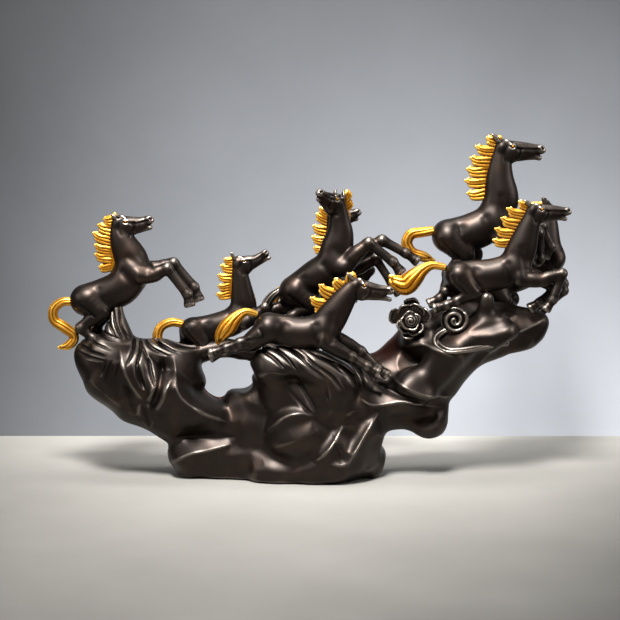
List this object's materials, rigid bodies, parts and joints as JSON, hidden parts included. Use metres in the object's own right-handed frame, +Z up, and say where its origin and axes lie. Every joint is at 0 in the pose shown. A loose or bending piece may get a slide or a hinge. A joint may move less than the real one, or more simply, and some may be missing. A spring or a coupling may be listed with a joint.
{
  "type": "bronze horse statue",
  "caption": "Table sculpture of a herd of horses running and rearing over a pierced rock, in dark bronze with gilded manes and tails, with a felted flat underside.",
  "frame": {"origin": "centre of the felt pad's underside, on the surface the statue stands on", "axes": "+X along the statue from the tails to the muzzles, -Y towards the front that the statue shows, +Z up"},
  "size_m": [0.6041, 0.151, 0.3969],
  "materials": {
    "bronze_patina": "cast bronze with a dark brown-black patina, satin, rubbed brighter on the edges",
    "gilding": "gold leaf paint over carved locks, brown in the grooves",
    "felt": "thin dark felt glued under the rock",
    "steel": "plain drawn steel rod"
  },
  "bodies": {
    "root": {"rock_left_wing": "bronze_patina", "rock_centre": "bronze_patina", "rock_right_wing": "bronze_patina", "open_rose": "bronze_patina", "spiral_scroll": "bronze_patina", "cloud_ledge": "bronze_patina", "felt_pad": "felt", "dowel_pins": "steel", "horse_1": "bronze_patina", "horse_2": "bronze_patina", "horse_3": "bronze_patina", "horse_4": "bronze_patina", "horse_5": "bronze_patina", "horse_6": "bronze_patina", "horse_7": "bronze_patina", "horse_8": "bronze_patina", "mane_1": "gilding", "mane_2": "gilding", "mane_3": "gilding", "mane_4": "gilding", "mane_5": "gilding", "mane_6": "gilding", "mane_7": "gilding", "mane_8": "gilding", "tail_1": "gilding", "tail_2": "gilding", "tail_3": "gilding", "tail_4": "bronze_patina", "tail_5": "gilding", "tail_6": "gilding", "tail_7": "gilding", "tail_8": "gilding"}
  },
  "joints": []
}
